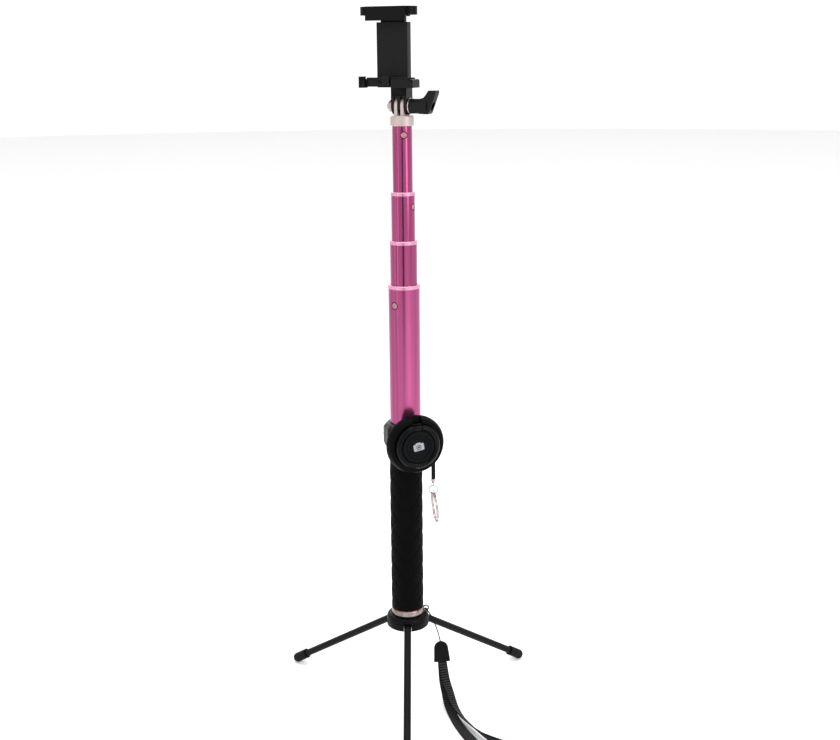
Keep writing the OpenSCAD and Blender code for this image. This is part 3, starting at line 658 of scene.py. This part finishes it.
# From the outer tube inwards: radius, upper end, and the windows' depth, radius and turns
TUBE_R = (14, 11.85, 10.35, 8.6)
TUBE_END = (402.9, 442.1, 484.6, 543.9)
WINDOW_DROP = (14.5, 13.6, 9.7, 7.5)
WINDOW_R = (3.1, 2.9, 2.7, 2.8)
WINDOW_TURNS = ((-128,), (0, 180), (-30,), (-80,))


def window_shade_ring(name, tube_r, end, drop, hole_r, turn, body):
    """Thin ring of painted shade round a window's edge, following the tube's curve."""
    corners, steps, half_width, lift, inset = 8, 48, 0.4, 0.06, 0.08
    points = []
    for i in range(steps):
        t = i * TURN / steps
        out = Vector((math.cos(t), math.sin(t)))
        for k in range(corners):
            a = k * TURN / corners
            reach = hole_r + inset + half_width * math.cos(a)
            around = math.radians(turn) + out.x * reach / tube_r
            r = tube_r + lift * math.sin(a)
            points.append(Vector((r * math.cos(around), r * math.sin(around),
                                  end - drop + out.y * reach)) * MM)
    piece = add_mesh(name, points, grid_faces(steps, corners, closed_rows=True))
    dress(piece, body, window_dark)


# painted shade rings round the windows
for i, body in enumerate(TUBE_BODIES.values()):
    for k, turn in enumerate(WINDOW_TURNS[i]):
        window_shade_ring(f"window_shade_ring_{i + 1}_{k + 1}", TUBE_R[i], TUBE_END[i], WINDOW_DROP[i],
                   WINDOW_R[i], turn, body)

# ---------------------------------------------------------------- head and clamp

adapter = refined("head_adapter", "top_section", pale_metal, 0.35, 3)
adapter.data.materials.append(boss_plastic)
for face in adapter.data.polygons:
    if face.center.z < (TUBE_END[-1] - 1) * MM:
        face.material_index = 1      # the spigot and its boss, which are moulded in pink-grey
refined("clamp_body", "clamp", black_plastic, 0.4, 3)
refined("housing_cover", "clamp", black_plastic, 0.3)
refined("lower_jaw_pad", "clamp", jaw_rubber, 0.35, 3)
refined("cover_screws", "clamp", steel, 0.15)
refined("cap_nut", "clamp", pale_metal, 0.3, 3)
refined("upper_jaw", "jaw", black_plastic, 0.8, 3)
refined("upper_jaw_pad", "jaw", jaw_rubber, 0.35, 3)
refined("thumb_screw", "tilt_screw", steel, 0.3)
refined("thumb_washer", "tilt_screw", bright_steel, 0.25, 3)
refined("thumb_knob", "tilt_screw", black_plastic, 0.7, 3)

# ---------------------------------------------------------------- clip and remote

CLIP_TURN = math.radians(19)
REMOTE_Z = 264.5
REMOTE_R = 20.6
SHELL_SPLIT = 30
BUTTON_R = 15
BUTTON_BACK = 32.1
BUTTON_FRONT = 36


def facing_front(out):
    """Takes +Z to the clip's forward direction, starting `out` mm from the pole's axis."""
    return (Matrix.Rotation(CLIP_TURN, 4, "Z")
            @ Matrix.Translation(Vector((0, -out, REMOTE_Z)) * MM)
            @ Matrix.Rotation(math.pi / 2, 4, "X"))


def smoothstep(t):
    t = min(1, max(0, t))
    return t * t * (3 - 2 * t)


def front_shell():
    """Domed bezel that falls to the button, with a tapering thumb notch at the top."""
    outside = [(19.25, 0), (REMOTE_R, 0)]
    outside += [(REMOTE_R, 0.8), (REMOTE_R, 1.6), (REMOTE_R, 2.4), (REMOTE_R, 3.0)]
    outside += arc(REMOTE_R - 3.2, 3.6, 3.2, 0, 90, 22)
    outside += [(17.4 - 1.5 * i / 10, 6.8 - 1.1 * smoothstep(i / 10)) for i in range(1, 11)]
    outside += [(15.6, 5.5), (15.42, 5.1), (15.4, 4.0), (15.4, 2.0), (19.2, 2.0)]

    def change(r, a, z):
        if r < 15.9 or z < 2.2 or math.sin(a) < 0:
            return r, a, z
        sideways = abs(r * math.cos(a))
        half = 2.8 + 2.0 * (r - 16) / 5
        cut = smoothstep((half + 0.3 - sideways) / 0.6) * smoothstep((r - 15.9) / 1.2)
        return r - 0.9 * cut * smoothstep((r - 19) / 1.6), a, z - 2.2 * cut

    piece = lathe("remote_bezel", outside, facing_front(SHELL_SPLIT), 420, closed=True,
                  change=change)
    dress(piece, "remote", gloss_black, ["remote_front_shell"])


def button():
    """Dished button with two turned rings."""
    rise = BUTTON_FRONT - BUTTON_BACK
    profile = [(12.8, -1), (16.4, -1), (16.55, -0.9), (16.55, -0.4), (16.4, -0.3), (15.1, -0.3)]
    profile += [(BUTTON_R, -0.2), (BUTTON_R, rise - 0.8)]
    profile += arc(BUTTON_R - 0.8, rise - 0.8, 0.8, 10, 90, 7)
    profile += [(13.4, rise - 0.08), (12.2, rise - 0.22), (11.8, rise - 0.28)]
    profile += arc(11.2, rise - 0.28, 0.5, 0, -180, 8)
    profile += [(10.6, rise - 0.26), (9.6, rise - 0.3), (8.7, rise - 0.32)]
    profile += arc(8.1, rise - 0.32, 0.42, 0, -180, 8)
    profile += [(7.55, rise - 0.28), (7.3, rise - 0.3), (5, rise - 0.34), (2, rise - 0.35),
                (0.05, rise - 0.35)]
    piece = lathe("remote_button_dished", profile, facing_front(BUTTON_BACK), 128)
    dress(piece, "button", button_black, ["remote_button"])


def slab(name, outline, hole, low, high, place, body, finish):
    """A thin plate from an outline in mm, with a matching inner outline cut out of it."""
    n = len(outline)
    points = [place @ (Vector((x, y, z)) * MM)
              for z in (low, high) for ring in (outline, hole) for x, y in ring]
    faces = []
    for k in range(n):
        j = (k + 1) % n
        faces.append((k, j, n + j, n + k))
        faces.append((2 * n + k, 3 * n + k, 3 * n + j, 2 * n + j))
        faces.append((k, 2 * n + k, 2 * n + j, j))
        faces.append((n + k, n + j, 3 * n + j, 3 * n + k))
    piece = add_mesh(name, points, faces, smooth=False)
    return dress(piece, body, finish)


def camera_icon():
    """Generic camera pictogram: a rounded body with a raised hump and a round lens."""
    face = facing_front(BUTTON_BACK) @ Matrix.Rotation(math.radians(9), 4, "Z")
    low, high = 3.5, 3.66
    steps = 120
    half_w, half_h, corner = 4.9, 3.2, 0.8
    hump_half_w, hump_h, hump_slope = 1.9, 1.1, 0.8
    hole_r, lens_outer_r, lens_inner_r = 2.35, 1.75, 0.95

    def reach(a):
        """Distance from the middle to the body's edge in direction a."""
        c, s = math.cos(a), math.sin(a)
        best = 0.0
        for i in range(400):
            r = i * 0.02
            x, y = r * c, r * s
            past = max(0, abs(x) - hump_half_w)
            top = half_h + hump_h * max(0, 1 - past / hump_slope)
            dx = max(0, abs(x) - (half_w - corner))
            limit = top if y > 0 else half_h
            dy = max(0, abs(y) - (limit - corner))
            if dx * dx + dy * dy <= corner * corner:
                best = r
        return best

    angles = [k * TURN / steps for k in range(steps)]

    def circle(r):
        return [(r * math.cos(a), r * math.sin(a)) for a in angles]

    outline = [(reach(a) * math.cos(a), reach(a) * math.sin(a)) for a in angles]
    slab("icon_camera_body", outline, circle(hole_r), low, high, face,
         "button", icon_paint)
    slab("icon_camera_lens", circle(lens_outer_r), circle(lens_inner_r), low, high, face,
         "button", icon_paint)


refined("clip_front", "remote_clip", grey_plastic, 0.4, 3)
refined("clip_back", "remote_clip", grey_plastic, 0.4, 3)
refined("clip_screws", "remote_clip", steel, 0.12)
refined("remote_cup", "remote_clip", cup_black, 0.35, 3)
refined("remote_rear_shell", "remote", button_black, 0.2)
refined("battery_door", "remote", button_black, 0.15)
front_shell()
button()
camera_icon()

# ---------------------------------------------------------------- lanyard end and key ring

LINK_RING_Z = 216.4
KEY_RING_Z = 200.1
KEY_RING_LEAN = math.radians(5)
KEY_RING_YAW = math.radians(8)
lanyard_x, lanyard_y = LANYARD_AT.x / MM, LANYARD_AT.y / MM
crimp_top = LANYARD_BOTTOM / MM


def torus(name, middle, wire, place, segments=72, corners=16):
    profile = arc(middle, 0, wire, 0, 360 - 360 / corners, corners - 1)
    return lathe(name, profile, place, segments, closed=True)


def crimp():
    """Pressed ferrule with a dent in one side and a wire loop."""
    low = crimp_top - 4.6

    def change(r, a, z):
        dent = max(0, math.sin(a)) ** 6 * smoothstep(1 - abs(z - low - 2.9) / 1.1)
        return r * (1 - 0.16 * dent), a, z

    profile = [(0.05, low), (1.0, low), (1.2, low + 0.2), (1.5, low + 1.2), (1.82, low + 2.2)]
    profile += [(1.95, low + 2.2 + 1.9 * i / 8) for i in range(9)]
    profile += [(1.9, low + 4.4), (1.7, low + 4.6), (0.05, low + 4.6)]
    at = Matrix.Translation(Vector((lanyard_x, lanyard_y, 0)) * MM)
    body = lathe("crimp_ferrule", profile, at, 40, change=change)
    dress(body, "remote_clip", bright_steel, ["lanyard_crimp"])
    eye_at = (Matrix.Translation(Vector((lanyard_x, lanyard_y, crimp_top - 6.1)) * MM)
              @ Matrix.Rotation(math.pi / 2, 4, "Y"))
    eye = torus("crimp_eye", 1.6, 0.4, eye_at, 40, 12)
    dress(eye, "remote_clip", bright_steel)
    return [body, eye]


def link():
    at = (Matrix.Translation(Vector((lanyard_x, lanyard_y, LINK_RING_Z)) * MM)
          @ Matrix.Rotation(math.pi / 2, 4, "X"))
    piece = torus("link_ring_wire", 4.1, 0.5, at)
    dress(piece, "link", bright_steel, ["link_ring"])


def key_ring():
    """Split ring: two turns of flat wire with a step where they cross over."""
    outer, wide, thick, pitch = 15.0, 1.8, 1.2, 1.34
    hang_x = lanyard_x + (outer - 0.9) * math.sin(KEY_RING_LEAN)
    place = (Matrix.Translation(Vector((hang_x, lanyard_y, KEY_RING_Z)) * MM)
             @ Matrix.Rotation(KEY_RING_YAW, 4, "Z")
             @ Matrix.Rotation(math.pi / 2 - KEY_RING_LEAN, 4, "Y"))
    turns, per_turn = 1.93, 120
    corner = 0.25
    section = []
    for sx, sy, start in ((1, 1, 0), (-1, 1, 90), (-1, -1, 180), (1, -1, 270)):
        cx, cy = sx * (wide / 2 - corner), sy * (thick / 2 - corner)
        section += arc(cx, cy, corner, start, start + 90, 3)
    count = int(turns * per_turn)
    points = []
    for i in range(count + 1):
        a = i / per_turn * TURN - 0.6
        step = smoothstep((i / per_turn - 0.86) / 0.16) - 0.5
        for u, v in section:
            r = outer - wide / 2 + u
            at = Vector((r * math.cos(a), r * math.sin(a), step * pitch + v))
            points.append(place @ (at * MM))
    n = len(section)
    faces = grid_faces(count + 1, n)
    faces.append(tuple(reversed(range(n))))
    faces.append(tuple(range(count * n, count * n + n)))
    piece = add_mesh("key_ring_split", points, faces)
    soften(piece, 0.05 * MM, 1, 50)
    dress(piece, "keys", bright_steel, ["key_ring"])


crimp_pieces = crimp()
link()
key_ring()

# ---------------------------------------------------------------- jaw spring


def jaw_coil():
    """The pull spring stretches between the clamp's peg and the upper jaw's."""
    low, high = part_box("jaw_spring")
    turns, per_turn, corners, wire = 15, 24, 10, 0.3 * MM
    count = turns * per_turn
    radius = min(high.x - low.x, high.y - low.y) / 2 - wire
    centre = (low + high) / 2
    line, across = [], []
    for i in range(count + 1):
        a = i * TURN / per_turn
        out = Vector((math.cos(a), math.sin(a), 0))
        height = low.z + wire + (high.z - low.z - 2 * wire) * i / count
        line.append(Vector((centre.x, centre.y, height)) + out * radius)
        across.append(out)
    angles = [k * TURN / corners for k in range(corners)]
    outline = [(wire * math.cos(a), wire * math.sin(a)) for a in angles]
    piece = sweep("jaw_coil", line, across, lambda i, distance: outline)
    piece.data.materials.append(steel)
    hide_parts("jaw_spring")
    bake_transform(piece)


jaw_coil()

# ---------------------------------------------------------------- pieces left as the CAD has them

LEFT_AS_THEY_ARE = {
    "handle_end_plug": (black_plastic, "black_plastic"),
    "lock_bush_second": (black_plastic, "black_plastic"),
    "lock_bush_third": (black_plastic, "black_plastic"),
    "lock_bush_top": (black_plastic, "black_plastic"),
    "lock_cone_second": (white_plastic, "white_plastic"),
    "lock_cone_third": (white_plastic, "white_plastic"),
    "lock_cone_top": (white_plastic, "white_plastic"),
    "circuit_board": (board_green, "board_green"),
    "tact_switch": (steel, "steel"),
    "coin_cell": (steel, "steel"),
    "battery_clip": (spring_brass, "spring_brass"),
}
for name, (finish, slot) in LEFT_AS_THEY_ARE.items():
    piece = nodes[name]
    piece.data.materials.clear()
    piece.data.materials.append(finish)
